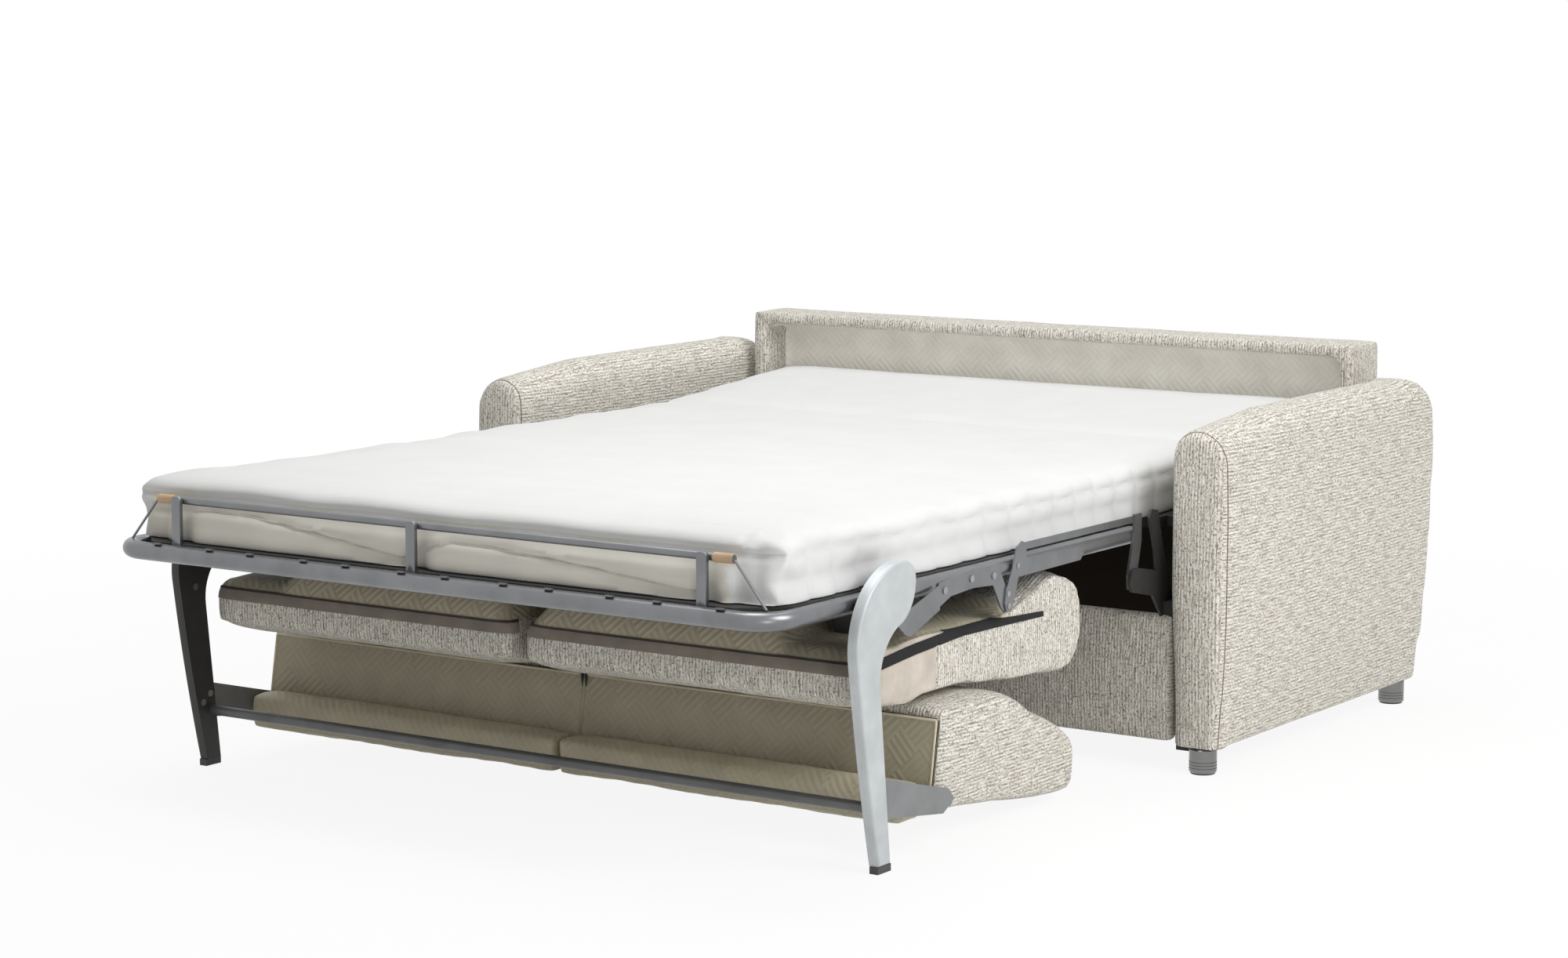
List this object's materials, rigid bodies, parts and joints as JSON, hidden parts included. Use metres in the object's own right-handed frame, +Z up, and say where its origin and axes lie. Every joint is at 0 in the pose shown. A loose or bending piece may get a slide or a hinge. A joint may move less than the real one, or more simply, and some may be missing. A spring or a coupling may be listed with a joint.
{
  "type": "sofa bed",
  "caption": "Upholstered sofa bed with a roll-over steel fitting, modelled opened out as a bed; seat and backrest turn over and fold with the mattress into the sofa.",
  "frame": {"origin": "middle of the opened bed's footprint, on the floor", "axes": "+Z up, -Y towards the foot end of the bed, +X along the sofa's width"},
  "size_m": [1.7, 2.1, 0.701],
  "materials": {
    "weave": "chunky woven upholstery cloth",
    "welt": "dark seam cord and edge tape",
    "lining": "embossed cream lining",
    "board": "plain board",
    "chrome_foot": "polished",
    "dark_steel": "dark paint",
    "silver_tube": "satin silver paint",
    "bolt": "zinc",
    "net": "woven strap net",
    "clip": "moulded",
    "sleeve": "moulded tan",
    "mattress": "white knit ticking",
    "bar_grey": "grey paint",
    "leg_cover": "satin light blue-grey paint",
    "leg_dark": "moulded",
    "leg_tip": "moulded"
  },
  "bodies": {
    "carcass": {"arm_left": "weave", "arm_right": "weave", "arm_welts": "welt", "back_posts": "weave", "back_top": "weave", "back_panel": "weave", "box_spacers": "board", "front_rail": "weave", "sofa_feet": "chrome_foot", "side_plates": "dark_steel", "side_blocks": "dark_steel", "fold_pins": "dark_steel", "head_guides": "dark_steel"},
    "seat_frame": {"frame_tube_left": "silver_tube", "frame_tube_right": "silver_tube", "cross_bars": "dark_steel", "mesh_mid": "net", "fold_arms": "dark_steel", "tie_bars": "silver_tube", "lower_plates": "silver_tube", "upper_plates": "silver_tube", "frame_bolts": "bolt", "hinge_ears": "dark_steel", "hinge_pins": "dark_steel", "seat_guides": "dark_steel", "mattress_mid": "mattress", "mattress_fold": "mattress"},
    "foot_section": {"foot_tube": "silver_tube", "mesh_foot": "net", "mesh_clips": "clip", "rail_posts": "silver_tube", "rail_rod": "silver_tube", "rail_sleeves": "sleeve", "rail_wires": "silver_tube", "foot_tongues": "dark_steel", "mattress_foot": "mattress"},
    "seat": {"seat_cushion_left": "weave", "seat_cushion_right": "weave", "seat_tape": "welt", "seat_rails": "dark_steel", "seat_spine": "dark_steel"},
    "backrest": {"back_cushion_left": "weave", "back_cushion_right": "weave", "back_lining": "lining", "back_tube": "bar_grey", "back_straps": "dark_steel", "back_pin": "dark_steel", "back_bar": "bar_grey", "back_blades": "bar_grey", "leg_cover_left": "leg_cover", "leg_cover_right": "leg_cover", "leg_inners": "leg_dark", "leg_tips": "leg_tip", "leg_bolts": "bolt", "leg_stays": "silver_tube"},
    "head_section": {"head_rails": "dark_steel", "head_bars": "dark_steel", "mesh_head": "net", "head_runners": "dark_steel", "mattress_head": "mattress"}
  },
  "joints": [
    {"name": "bed_fold", "type": "hinge", "parent": "carcass", "child": "seat_frame", "pos_m": [0, 0.0585, 0.352], "axis": [1, 0, 0], "range_deg": [-180, 0], "deforming": ["mattress_fold"]},
    {"name": "foot_fold", "type": "hinge", "parent": "seat_frame", "child": "foot_section", "pos_m": [0, -0.693, 0.437], "axis": [1, 0, 0], "range_deg": [0, 90]},
    {"name": "seat_shift", "type": "slide", "parent": "seat_frame", "child": "seat", "axis": [0, 0.9844, -0.1758], "range_m": [0, 0.1423]},
    {"name": "back_fold", "type": "hinge", "parent": "seat", "child": "backrest", "pos_m": [0, -0.6075, 0.2425], "axis": [1, 0, 0], "range_deg": [-90, 0]},
    {"name": "head_drop", "type": "slide", "parent": "carcass", "child": "head_section", "axis": [0, 0, -1], "range_m": [0, 0.4001]}
  ],
  "couplings": [
    {"joint": "foot_fold", "follows": "bed_fold", "ratio": -0.5},
    {"joint": "seat_shift", "follows": "bed_fold", "m_per_rad": -0.045268},
    {"joint": "back_fold", "follows": "bed_fold", "ratio": 0.5},
    {"joint": "head_drop", "follows": "bed_fold", "m_per_rad": -0.12732}
  ]
}
